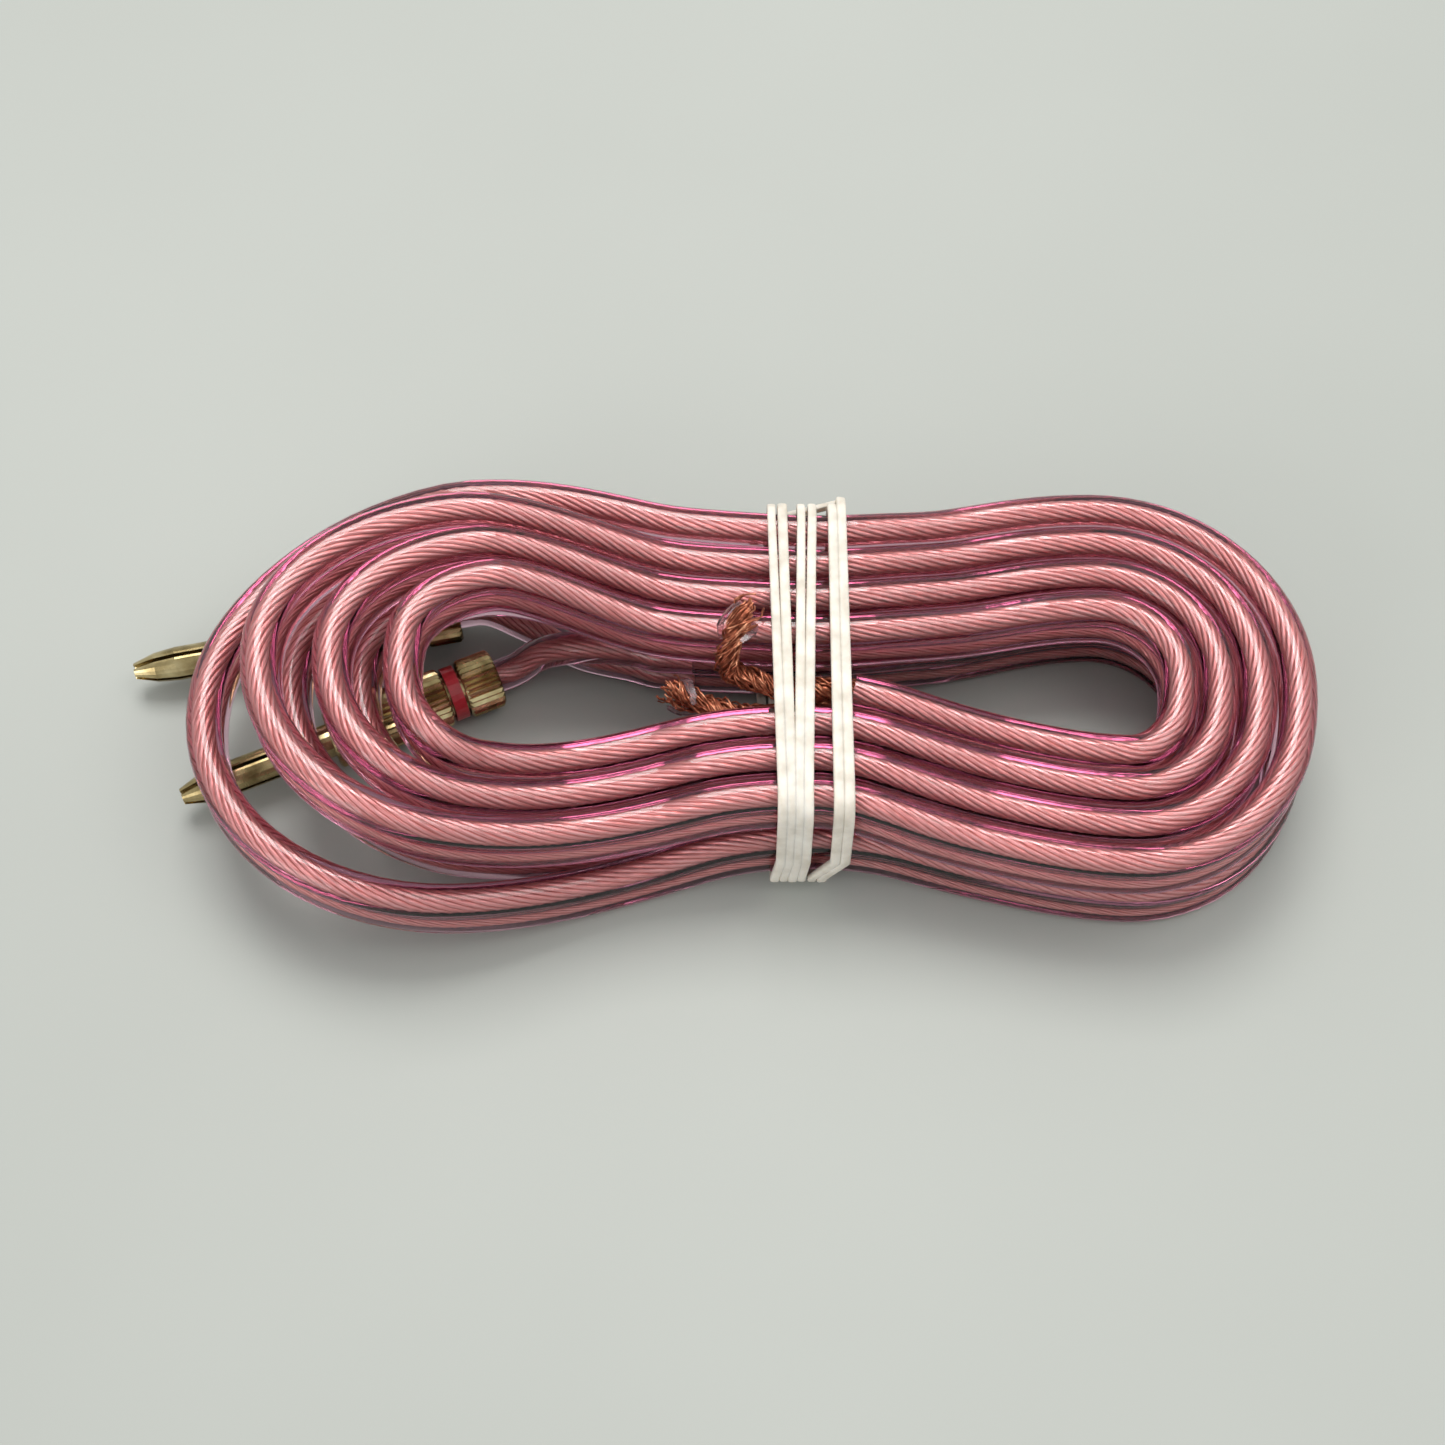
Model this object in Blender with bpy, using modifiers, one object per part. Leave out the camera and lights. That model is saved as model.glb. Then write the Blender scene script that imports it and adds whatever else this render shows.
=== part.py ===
"""A twin speaker lead put away in a hank: clear twin cord, two screw plugs, two bare ends and a rubber band.

The cord stands on edge and is wound in two layers, outwards in the lower one and inwards in the upper one.
Both plugs lie on the floor under the left end of the hank, and the band holds it at the waist.
X runs along the hank, Y to its back and Z up. The rest plane is Z = 0.
"""

import math

import bmesh
import bpy
import numpy
from mathutils import Vector

MM = 0.001
OBJECT_NAME = "banded_speaker_lead"

# Twin cord: two round conductors side by side, joined by a web
CONDUCTOR_OD = 3.9 * MM
CONDUCTOR_STEP = 4.0 * MM
WEB_HALF = 1.0 * MM
CORE_OD = 2.4 * MM
LOOP_GAP = 0.5 * MM
LAYER_GAP = 0.7 * MM
LOOP_STEP = CONDUCTOR_OD + LOOP_GAP
CORD_HIGH = CONDUCTOR_OD + CONDUCTOR_STEP
LAYER_STEP = CORD_HIGH + LAYER_GAP
REST_CUT = 0.1 * CONDUCTOR_OD

# Outline of the outermost loop, along the middle of the cord
TIP_LEFT = 61.5 * MM
TIP_RIGHT = 62.3 * MM
PEAK_LEFT_BACK = 31.0 * MM
PEAK_LEFT_FRONT = 35.0 * MM
PEAK_RIGHT_BACK = 39.0 * MM
PEAK_RIGHT_FRONT = 40.5 * MM
LOBE_LEFT_BACK = 21.6 * MM
LOBE_LEFT_FRONT = 24.3 * MM
LOBE_RIGHT_BACK = 23.0 * MM
LOBE_RIGHT_FRONT = 23.8 * MM
WAIST_X = 5.0 * MM
WAIST_BACK = 18.2 * MM
WAIST_FRONT = 18.5 * MM

# Winding, counted in turns from the left tip
FIRST_TURN = 0.215
LAST_TURN = 6.729
REVERSE_TURN = 3.12
REVERSE_DIP = 0.2
CLIMB_FROM = 3.05
CLIMB_TO = 3.22
POINTS_PER_TURN = 24
LEFT_SPREAD = 3.4 * MM
LOOSE_LOOPS = ((2.56, 0.08, 1.8 * MM), (2.93, 0.09, 3.6 * MM), (3.03, 0.05, -1.8 * MM))
FRONT_SLIP = 1.3 * MM
FRONT_SLIP_FROM = 6.0 * MM
FRONT_SLIP_RAMP = 12.0 * MM

# Screw plug, with lengths counted from its tip
PIN_OD = 4.0 * MM
PIN_TIP_OD = 1.9 * MM
PIN_NOSE = 5.0 * MM
PIN_LENGTH = 18.0 * MM
PIN_BORE = 1.0 * MM
PIN_SLOT = 0.5 * MM
PIN_SLOT_LENGTH = 13.0 * MM
BARREL_OD = 7.0 * MM
KNURL_RIDGES = 30
KNURL_DEPTH = 0.3 * MM
EDGE_CHAMFER = 0.35 * MM
SLEEVE_LENGTH = 14.2 * MM
SLEEVE_WALL = 0.75 * MM
SLEEVE_FRONT_WALL = 1.5 * MM
RING_RECESS = 0.25 * MM
RING_WIDE = 1.5 * MM
CAP_LENGTH = 4.3 * MM
CAP_NECK_LENGTH = 5.5 * MM
CAP_PITCH = 0.8 * MM
CAP_TURNS = 2
COLLET_LENGTH = 4.0 * MM
COLLET_TAPER = 0.5 * MM
COLLET_SLIT = 0.5 * MM
SOCKET_DEPTH = 3.4 * MM
JACKET_IN_CAP = 1.0 * MM
FIT = 0.3 * MM

CAP_TRAVEL = CAP_PITCH * CAP_TURNS
AXIS_HEIGHT = BARREL_OD / 2
SLEEVE_BORE = BARREL_OD - 2 * SLEEVE_WALL
RING_OD = BARREL_OD - 2 * RING_RECESS
INSIDE_R = SLEEVE_BORE / 2 - FIT
WIRE_HOLE_R = CORE_OD / 2 + FIT
JACKET_HOLE_R = CONDUCTOR_OD / 2 + FIT
RING_FRONT = PIN_LENGTH + SLEEVE_LENGTH + FIT
CAP_FRONT = RING_FRONT + RING_WIDE + FIT
CAP_REAR = CAP_FRONT + CAP_LENGTH
NECK_FRONT = CAP_FRONT - CAP_NECK_LENGTH
COLLET_REAR = NECK_FRONT - FIT
COLLET_FRONT = COLLET_REAR - COLLET_LENGTH
SPIGOT_REAR = COLLET_FRONT - FIT
SOCKET_FLOOR = SPIGOT_REAR - SOCKET_DEPTH

# Where the tips of the pins lie, how far each plug points to the back, and the colour of its ring
PLUGS = {
    "black": ((-73.4 * MM, 6.4 * MM), math.radians(12.0), (0.015, 0.015, 0.018)),
    "red": ((-66.0 * MM, -10.0 * MM), math.radians(23.9), (0.42, 0.01, 0.015)),
}
# Points of each free leg between its plug and the end of the twin cord
LEG_ROUTES = {
    "black": ((-27.5, 13.0, 2.9), (-21.0, 9.5, 2.3), (-14.5, 7.8, 2.3)),
    "red": ((-25.2, 7.9, 5.2), (-20.5, 7.9, 6.5), (-14.5, 7.6, 6.5)),
}
LEG_STEP = 2.8 * MM
LEG_STRAIGHT = CAP_TRAVEL + FIT

# How far the cord is held up over the plugs and over the lower strands of the band
BAND_THICK = 1.0 * MM
BAND_CLEARANCE = 0.35 * MM
PLUG_CLEARANCE = 0.6 * MM
PLUG_LIFT = BARREL_OD + PLUG_CLEARANCE
BAND_LIFT = BAND_THICK + 1.3 * BAND_CLEARANCE
PLUG_RAMP_BACK = (2.0 * MM, 37.0 * MM)
PLUG_RAMP_FRONT = (14.0 * MM, 54.0 * MM)
WAIST_RAMP = 13.0 * MM

# Rubber band: one closed ring of rubber wound round the waist, each place along X being one pass over the top
BAND_AT = (1.3 * MM, 2.75 * MM, 5.0 * MM, 6.45 * MM, 8.4 * MM, 9.85 * MM)
BAND_SLANT = 1.3 * MM
BAND_RETURN_PITCH = 1.5 * MM
BAND_CROSS_OUT = 1.6 * MM
BAND_CORNER_POINTS = 6

# Bare ends of the two conductors, past the cut end of the jacket, and the shreds of jacket left on them
BARE_OD = 2.4 * MM
BARE_TIP_SHARE = 0.55
BARE_STEP = 1.6 * MM
BARE_ROUTES = {
    "front": ((3.0, -4.2, 12.4), (-3.6, -3.6, 12.3), (-7.8, -2.3, 12.6), (-10.8, -0.6, 13.0)),
    "back": (
        (4.0, -2.6, 15.6),
        (-0.6, -0.8, 14.6),
        (-3.3, 0.3, 14.8),
        (-3.6, 0.9, 17.0),
        (-2.3, 3.4, 19.6),
        (-0.6, 6.4, 20.0),
    ),
}
SHRED_THICK = 0.4 * MM
SHRED_LENGTH = 2.2 * MM
SHRED_OPENING = math.radians(150)
SHRED_SHARES = {"front": 0.9, "back": 0.78}


def clear_scene():
    for item in list(bpy.data.objects):
        bpy.data.objects.remove(item, do_unlink=True)


def smooth_step(value):
    value = min(max(value, 0.0), 1.0)
    return value * value * (3 - 2 * value)


def outline(turn):
    """Middle line of the outermost loop: whole turns are the left tip, which the cord leaves along the back."""
    share = turn % 1.0
    back = share < 0.5
    side = 1.0 if back else -1.0
    peak_left = PEAK_LEFT_BACK if back else PEAK_LEFT_FRONT
    peak_right = PEAK_RIGHT_BACK if back else PEAK_RIGHT_FRONT
    lobe_left = LOBE_LEFT_BACK if back else LOBE_LEFT_FRONT
    lobe_right = LOBE_RIGHT_BACK if back else LOBE_RIGHT_FRONT
    waist = WAIST_BACK if back else WAIST_FRONT
    along = share if back else 1.0 - share
    if along < 0.125:
        angle = along / 0.125 * math.pi / 2
        x = -peak_left - (TIP_LEFT - peak_left) * math.cos(angle)
        return Vector((x, side * lobe_left * math.sin(angle)))
    if along > 0.375:
        angle = (0.5 - along) / 0.125 * math.pi / 2
        x = peak_right + (TIP_RIGHT - peak_right) * math.cos(angle)
        return Vector((x, side * lobe_right * math.sin(angle)))
    x = -peak_left + (peak_left + peak_right) * (along - 0.125) / 0.25
    left = x < WAIST_X
    lobe = lobe_left if left else lobe_right
    half = WAIST_X + peak_left if left else peak_right - WAIST_X
    drawn_in = (1 + math.cos(math.pi * (x - WAIST_X) / half)) / 2
    return Vector((x, side * (lobe - (lobe - waist) * drawn_in)))


def inward(turn):
    """Unit vector across the outline, towards the inside of the loop."""
    step = outline(turn + 0.0005) - outline(turn - 0.0005)
    step.normalize()
    return Vector((step.y, -step.x))


def loops_in(turn):
    """How many loops the cord lies inside the outermost one: out in the lower layer, in again in the upper one."""
    away = abs(turn - REVERSE_TURN)
    dip = math.cos(min(away / REVERSE_DIP, 1.0) * math.pi / 2) ** 2
    return away - REVERSE_DIP * dip


def underside(turn):
    """Height of the cord's underside in the lower layer: on the floor, over the plugs or over the band."""
    x = outline(turn).x
    near, far = PLUG_RAMP_BACK if turn % 1.0 < 0.5 else PLUG_RAMP_FRONT
    over_plugs = (PLUG_LIFT + REST_CUT) * smooth_step((-x - near) / (far - near))
    over_band = (BAND_LIFT + REST_CUT) * math.exp(-(((x - WAIST_X) / WAIST_RAMP) ** 4))
    return over_plugs + over_band - REST_CUT


def cord_place(turn):
    """Middle of the twin cord, between its conductors. The upper layer has slipped outwards at the right front."""
    inside = loops_in(turn)
    across = inward(turn)
    spot = outline(turn) + across * (LOOP_STEP * inside)
    spot.x += LEFT_SPREAD * inside * max(math.cos(2 * math.pi * turn), 0.0) ** 3
    for middle, wide, reach in LOOSE_LOOPS:
        spot -= across * reach * math.exp(-(((turn - middle) / wide) ** 2))
    layer = smooth_step((turn - CLIMB_FROM) / (CLIMB_TO - CLIMB_FROM))
    right = smooth_step((outline(turn).x - FRONT_SLIP_FROM) / FRONT_SLIP_RAMP)
    front = smooth_step(-outline(turn).y / FRONT_SLIP_RAMP)
    spot.y -= FRONT_SLIP * layer * right * front
    height = underside(turn) + CORD_HIGH / 2 + LAYER_STEP * layer
    return Vector((spot.x, spot.y, height))


def hank_turns():
    count = round((LAST_TURN - FIRST_TURN) * POINTS_PER_TURN)
    return [FIRST_TURN + (LAST_TURN - FIRST_TURN) * index / count for index in range(count + 1)]


def cut_face(turn, neighbour):
    """Middle of one end of the twin cord, the way out of it, and the direction between its conductors."""
    middle = cord_place(turn)
    out = (middle - cord_place(neighbour)).normalized()
    side = out.cross(Vector((0, 0, 1))).normalized()
    return middle, out, side.cross(out)


def smooth_route(start, way_in, through, end, way_out, step):
    """Points about a step apart on a smooth curve, with a given direction at each end."""
    knots = [start, *through, end]
    ways = [way_in.normalized()]
    for before, after in zip(knots, knots[2:]):
        ways.append((after - before).normalized())
    ways.append(way_out.normalized())
    points = [start]
    for index in range(len(knots) - 1):
        one = knots[index]
        two = knots[index + 1]
        reach = (two - one).length
        count = max(round(reach / step), 1)
        for part in range(1, count + 1):
            t = part / count
            ahead = reach * (ways[index] * (t**3 - 2 * t**2 + t) + ways[index + 1] * (t**3 - t**2))
            points.append(one * (2 * t**3 - 3 * t**2 + 1) + two * (3 * t**2 - 2 * t**3) + ahead)
    return points


def in_metres(points):
    return [Vector(point) * MM for point in points]


def new_material(name, colour, roughness, metallic=0.0):
    material = bpy.data.materials.new(name)
    material.use_nodes = True
    shader = material.node_tree.nodes["Principled BSDF"]
    shader.inputs["Base Color"].default_value = (*colour, 1.0)
    shader.inputs["Roughness"].default_value = roughness
    shader.inputs["Metallic"].default_value = metallic
    return material


def new_collection(name):
    group = bpy.data.collections.new(name)
    bpy.context.scene.collection.children.link(group)
    return group


def add_object(name, data, group, parent, material=None):
    item = bpy.data.objects.new(name, data)
    group.objects.link(item)
    item.parent = parent
    if material:
        data.materials.append(material)
    return item


def make_guide(item):
    item.hide_render = True
    item.display_type = "WIRE"
    return item


def shade_round(item):
    item.data.shade_smooth()
    item.data.set_sharp_from_angle(angle=math.radians(35))


def line_curve(name, points, closed=False):
    curve = bpy.data.curves.new(name, "CURVE")
    curve.dimensions = "3D"
    spline = curve.splines.new("POLY")
    spline.points.add(len(points) - 1)
    for knot, spot in zip(spline.points, points):
        knot.co = (*spot, 1.0)
    spline.use_cyclic_u = closed
    curve.twist_mode = "Z_UP"
    return curve


def tube(name, points, diameter, rounding, group, parent, material, closed=False, shares=None):
    """A round tube along a line of points, with filled ends unless it is closed."""
    curve = line_curve(name, points, closed)
    curve.bevel_depth = diameter / 2
    curve.bevel_resolution = rounding
    curve.use_fill_caps = not closed
    for knot, share in zip(curve.splines[0].points, shares or ()):
        knot.radius = share
    return add_object(name, curve, group, parent, material)


def made_mesh(item):
    """The same object with its curve made a mesh, its caps welded."""
    bpy.context.view_layer.update()
    evaluated = item.evaluated_get(bpy.context.evaluated_depsgraph_get())
    data = bpy.data.meshes.new_from_object(evaluated)
    work = bmesh.new()
    work.from_mesh(data)
    bmesh.ops.remove_doubles(work, verts=work.verts, dist=0.001 * MM)
    bmesh.ops.recalc_face_normals(work, faces=work.faces)
    work.to_mesh(data)
    work.free()
    name = item.name
    solid = bpy.data.objects.new(name, data)
    for group in item.users_collection:
        group.objects.link(solid)
    solid.parent = item.parent
    solid.location = item.location
    bpy.data.objects.remove(item, do_unlink=True)
    solid.name = name
    return solid


def turned(name, profile, steps, group, parent, material=None):
    """A profile of (radius, height) pairs, from the top down its outer side, turned about local Z."""
    mesh = bpy.data.meshes.new(name)
    corners = [(radius, 0.0, height) for radius, height in profile]
    edges = [(index, index + 1) for index in range(len(corners) - 1)]
    if profile[0][0] and profile[-1][0]:
        edges.append((len(corners) - 1, 0))
    mesh.from_pydata(corners, edges, [])
    item = add_object(name, mesh, group, parent, material)
    screw = item.modifiers.new("turn", "SCREW")
    screw.steps = steps
    screw.render_steps = steps
    screw.use_merge_vertices = True
    screw.merge_threshold = 0.01 * MM
    return item


def cut(item, cutter, name, operation="DIFFERENCE"):
    boolean = item.modifiers.new(name, "BOOLEAN")
    boolean.operation = operation
    boolean.solver = "EXACT"
    boolean.object = cutter


def box_cutter(name, size, middle, group, parent, turn=0.0):
    mesh = bpy.data.meshes.new(name)
    work = bmesh.new()
    bmesh.ops.create_cube(work, size=1.0)
    bmesh.ops.scale(work, vec=size, verts=work.verts)
    work.to_mesh(mesh)
    work.free()
    item = add_object(name, mesh, group, parent)
    item.location = middle
    item.rotation_euler.z = turn
    return make_guide(item)


def flat_outline(name, loops, length, group, parent, material=None):
    """A closed outline, with any holes, extruded upwards from local Z = 0."""
    curve = bpy.data.curves.new(name, "CURVE")
    curve.dimensions = "2D"
    curve.fill_mode = "BOTH"
    curve.extrude = length / 2
    for loop in loops:
        spline = curve.splines.new("POLY")
        spline.points.add(len(loop) - 1)
        for knot, (x, y) in zip(spline.points, loop):
            knot.co = (x, y, 0.0, 1.0)
        spline.use_cyclic_u = True
    item = add_object(name, curve, group, parent, material)
    item.location.z = length / 2
    return item


def cord_section():
    """Outline of the twin cord across: two six-sided conductors and the narrower web between them."""
    radius = CONDUCTOR_OD / 2
    quarter = []
    for degrees in (-30, 30):
        angle = math.radians(degrees)
        quarter.append((radius * math.cos(angle), CONDUCTOR_STEP / 2 + radius * math.sin(angle)))
    right = [(WEB_HALF, 0.0), *quarter, (0.0, CONDUCTOR_STEP / 2 + radius)]
    top = right + [(-x, y) for x, y in reversed(quarter)]
    return top + [(-x, -y) for x, y in top]


def cord_hank(shown, guides, root, jacket):
    """All loops of the twin cord as one tube, cut flat where the part stands on it."""
    points = [cord_place(turn) for turn in hank_turns()]
    curve = line_curve("cord_hank", points)
    section = bpy.data.curves.new("cord_section", "CURVE")
    spline = section.splines.new("POLY")
    corners = cord_section()
    spline.points.add(len(corners) - 1)
    for knot, (x, y) in zip(spline.points, corners):
        knot.co = (x, y, 0.0, 1.0)
    spline.use_cyclic_u = True
    curve.bevel_mode = "OBJECT"
    curve.bevel_object = make_guide(add_object("cord_section", section, guides, root))
    curve.use_fill_caps = True
    hank = made_mesh(add_object("cord_hank", curve, shown, root, jacket))
    length = 4 * (TIP_LEFT + TIP_RIGHT)
    floor_size = (length, length, CORD_HIGH)
    floor = box_cutter("floor_cut", floor_size, (0, 0, -CORD_HIGH / 2), guides, root)
    cut(hank, floor, "rest face")
    shade_round(hank)
    report_hank(points)


def report_hank(points):
    """Prints the length of the cord in the hank and its least gap to itself, measured on its skin's points."""
    length = sum((two - one).length for one, two in zip(points, points[1:]))
    skins = []
    for index, spot in enumerate(points):
        before = points[max(index - 1, 0)]
        after = points[min(index + 1, len(points) - 1)]
        ahead = (after - before).normalized()
        side = ahead.cross(Vector((0, 0, 1))).normalized()
        up = side.cross(ahead)
        skins.append([spot + side * x + up * y for x, y in cord_section()])
    skins = numpy.array(skins)
    least = math.inf
    for loops in range(POINTS_PER_TURN // 2, len(points)):
        gaps = skins[loops:, :, None, :] - skins[:-loops, None, :, :]
        least = min(least, float(numpy.sqrt((gaps**2).sum(axis=3)).min()))
    print(f"cord_hank: {length / MM:.0f} mm of cord, least gap to itself {least / MM:.2f} mm")


def band_point(angle, conductors):
    """Point (y, z) of a taut loop round the conductors, seen along X."""
    way = Vector((math.cos(angle), math.sin(angle)))
    farthest = max(conductors, key=lambda spot: spot.dot(way))
    return farthest + way * (CONDUCTOR_OD / 2 + BAND_CLEARANCE + BAND_THICK / 2)


def waist_conductors():
    """Places (y, z) of the conductors that pass through the band."""
    spots = []
    for turn in numpy.arange(FIRST_TURN, LAST_TURN, 0.01):
        middle = cord_place(float(turn))
        if BAND_AT[0] - BAND_THICK <= middle.x <= BAND_AT[-1] + BAND_THICK:
            for half in (CONDUCTOR_STEP / 2, -CONDUCTOR_STEP / 2):
                spots.append(Vector((middle.y, middle.z + half)))
    return spots


def rubber_band(shown, root, rubber):
    """A closed ring of rubber that goes round the waist once for each place in BAND_AT and crosses back outside."""
    conductors = waist_conductors()
    last = len(BAND_AT) - 1
    points = []
    for number, top in enumerate(BAND_AT):
        crossing = number == last
        following = BAND_AT[0] if crossing else BAND_AT[number + 1]
        low_back = BAND_AT[0] - BAND_RETURN_PITCH if crossing else top
        corners = (top, low_back, following - BAND_SLANT, following)
        for corner, x in enumerate(corners):
            outside = BAND_CROSS_OUT if crossing and corner < 2 else 0.0
            for step in range(BAND_CORNER_POINTS):
                angle = math.pi / 2 * (1 - corner - (step + 0.5) / BAND_CORNER_POINTS)
                spot = band_point(angle, conductors)
                points.append(Vector((x, spot.x + outside, spot.y)))
    tube("rubber_band", points, BAND_THICK, 1, shown, root, rubber, closed=True)
    skip = 2 * BAND_CORNER_POINTS
    spots = numpy.array(points)
    least = math.inf
    for apart in range(skip, len(points) - skip):
        least = min(least, float(numpy.linalg.norm(spots[apart:] - spots[:-apart], axis=1).min()))
    print(f"rubber_band: least gap to itself {(least - BAND_THICK) / MM:.2f} mm")


def plug_pin(name, shown, guides, axis, gold):
    """Slotted pin with its spigot inside the sleeve and the socket for the wire."""
    tip = PIN_TIP_OD / 2
    wall_rear = PIN_LENGTH + SLEEVE_FRONT_WALL + FIT
    profile = (
        (0.0, SOCKET_FLOOR),
        (WIRE_HOLE_R, SOCKET_FLOOR),
        (WIRE_HOLE_R, SPIGOT_REAR),
        (INSIDE_R, SPIGOT_REAR),
        (INSIDE_R, wall_rear),
        (PIN_OD / 2, wall_rear),
        (PIN_OD / 2, PIN_NOSE),
        ((PIN_OD / 2 + tip) / 2 + 0.25 * MM, PIN_NOSE / 2),
        (tip, 0.0),
        (PIN_BORE / 2, 0.0),
        (PIN_BORE / 2, PIN_SLOT_LENGTH + PIN_BORE),
        (0.0, PIN_SLOT_LENGTH + PIN_BORE),
    )
    pin = turned(name + "_pin", profile, 24, shown, axis, gold)
    slot_size = (PIN_SLOT, 2 * PIN_OD, 2 * PIN_SLOT_LENGTH)
    for number, turn in enumerate((0.0, math.pi / 2)):
        slot = box_cutter(f"{name}_slot_{number}", slot_size, (0, 0, 0), guides, axis, turn)
        cut(pin, slot, f"slot {number}")
    shade_round(pin)


def knurled(name, low, high, bore, shown, guides, axis, gold, neck=()):
    """A ridged barrel from low to high along the plug, with a turned bore profile and an optional neck in front."""
    count = 2 * KNURL_RIDGES
    ridges = []
    for number in range(count):
        radius = BARREL_OD / 2 - (KNURL_DEPTH if number % 2 else 0.0)
        angle = 2 * math.pi * number / count
        ridges.append((radius * math.cos(angle), radius * math.sin(angle)))
    barrel = flat_outline(name, [ridges], high - low, shown, axis, gold)
    barrel.location.z = (high + low) / 2
    barrel = made_mesh(barrel)
    edge = BARREL_OD / 2 - EDGE_CHAMFER
    outside = BARREL_OD / 2 + EDGE_CHAMFER
    shell = [
        (edge, high),
        (outside, high - 2 * EDGE_CHAMFER),
        (outside, low + 2 * EDGE_CHAMFER),
        (edge, low),
    ]
    blank = make_guide(turned(name + "_blank", shell + list(bore), 32, guides, axis))
    cut(barrel, blank, "bore and chamfers", "INTERSECT")
    if neck:
        tube_neck = make_guide(turned(name + "_neck", neck, 32, guides, axis))
        cut(barrel, tube_neck, "neck", "UNION")
    shade_round(barrel)
    return barrel


def plug_sleeve(name, shown, guides, axis, gold):
    rear = PIN_LENGTH + SLEEVE_LENGTH
    step = PIN_LENGTH + SLEEVE_FRONT_WALL
    bore = (
        (PIN_OD / 2 + FIT, PIN_LENGTH),
        (PIN_OD / 2 + FIT, step),
        (SLEEVE_BORE / 2, step),
        (SLEEVE_BORE / 2, rear),
    )
    knurled(name + "_sleeve", PIN_LENGTH, rear, bore, shown, guides, axis, gold)


def plug_ring(name, shown, axis, plastic):
    """Coloured ring between sleeve and cap, round the neck of the cap."""
    profile = (
        (RING_OD / 2, RING_FRONT + RING_WIDE),
        (RING_OD / 2, RING_FRONT),
        (SLEEVE_BORE / 2, RING_FRONT),
        (SLEEVE_BORE / 2, RING_FRONT + RING_WIDE),
    )
    ring = turned(name + "_ring", profile, 32, shown, axis, plastic)
    shade_round(ring)


def plug_cap(name, shown, guides, axis, gold):
    """Screw cap: a ridged head with room for the jacket, and a neck that pushes the collet."""
    jacket_floor = CAP_REAR - JACKET_IN_CAP - CAP_TRAVEL - FIT
    bore = (
        (WIRE_HOLE_R, CAP_FRONT),
        (WIRE_HOLE_R, jacket_floor),
        (JACKET_HOLE_R, jacket_floor),
        (JACKET_HOLE_R, CAP_REAR),
    )
    neck = (
        (INSIDE_R, CAP_FRONT + FIT),
        (INSIDE_R, NECK_FRONT),
        (WIRE_HOLE_R, NECK_FRONT),
        (WIRE_HOLE_R, CAP_FRONT + FIT),
    )
    knurled(name + "_cap", CAP_FRONT, CAP_REAR, bore, shown, guides, axis, gold, neck)


def plug_collet(name, shown, guides, axis, gold):
    """Split collet that the cap's neck presses on the wire."""
    profile = (
        (INSIDE_R, COLLET_REAR),
        (INSIDE_R, COLLET_FRONT + COLLET_TAPER),
        (INSIDE_R - COLLET_TAPER, COLLET_FRONT),
        (WIRE_HOLE_R, COLLET_FRONT),
        (WIRE_HOLE_R, COLLET_REAR),
    )
    collet = turned(name + "_collet", profile, 24, shown, axis, gold)
    middle = (SLEEVE_BORE / 2, 0, COLLET_REAR)
    size = (SLEEVE_BORE, COLLET_SLIT, 3 * COLLET_LENGTH)
    cut(collet, box_cutter(name + "_slit", size, middle, guides, axis), "slit")
    shade_round(collet)


def plug_axis(name, shown, root):
    """Empty at the tip of the pin, its local Z running down the plug to the cap."""
    (x, y), heading, _ = PLUGS[name]
    axis = bpy.data.objects.new(f"plug_{name}_axis", None)
    shown.objects.link(axis)
    axis.parent = root
    axis.location = (x, y, AXIS_HEIGHT)
    axis.rotation_euler = (0, math.pi / 2, heading)
    return axis


def leg(name, up_share, shown, root, jacket, copper):
    """One conductor split off the twin cord: its jacket up to the cap, its strands on into the pin."""
    (x, y), heading, _ = PLUGS[name]
    tip = Vector((x, y, AXIS_HEIGHT))
    along = Vector((math.cos(heading), math.sin(heading), 0))
    turns = hank_turns()
    face, out, between = cut_face(turns[0], turns[1])
    end = face + between * (up_share * CONDUCTOR_STEP) + out * FIT
    before_end = end + out * CONDUCTOR_OD
    bend = tip + along * (CAP_REAR + LEG_STRAIGHT)
    free = smooth_route(bend, along, in_metres(LEG_ROUTES[name]), before_end, -out, LEG_STEP)
    skin = [tip + along * (CAP_REAR - JACKET_IN_CAP), *free, end]
    inside = [tip + along * (SOCKET_FLOOR + FIT), *free, end]
    shell = tube(f"leg_{name}_jacket", skin, CONDUCTOR_OD, 2, shown, root, jacket)
    shell.data.use_fill_caps = False
    shell = made_mesh(shell)
    wall = shell.modifiers.new("wall", "SOLIDIFY")
    wall.thickness = CONDUCTOR_OD / 2 - WIRE_HOLE_R
    wall.offset = -1.0
    shade_round(shell)
    tube(f"leg_{name}_core", inside, CORE_OD, 2, shown, root, copper)


def bare_route(name, side):
    """Points of one bare end, from the cut face of the jacket to its tip."""
    turns = hank_turns()
    face, out, between = cut_face(turns[-1], turns[-2])
    start = face + between * (side * CONDUCTOR_STEP / 2) + out * FIT
    through = in_metres(BARE_ROUTES[name])
    last = through.pop()
    return smooth_route(start, out, through, last, last - through[-1], BARE_STEP)


def bare_end(name, side, shown, root, copper):
    """Twisted strands past the cut jacket, thinner towards their tip."""
    points = bare_route(name, side)
    shares = []
    for number in range(len(points)):
        near_tip = smooth_step(3 * number / (len(points) - 1) - 2)
        shares.append(1 - (1 - BARE_TIP_SHARE) * near_tip)
    tube(f"bare_end_{name}", points, BARE_OD, 2, shown, root, copper, shares=shares)


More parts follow.
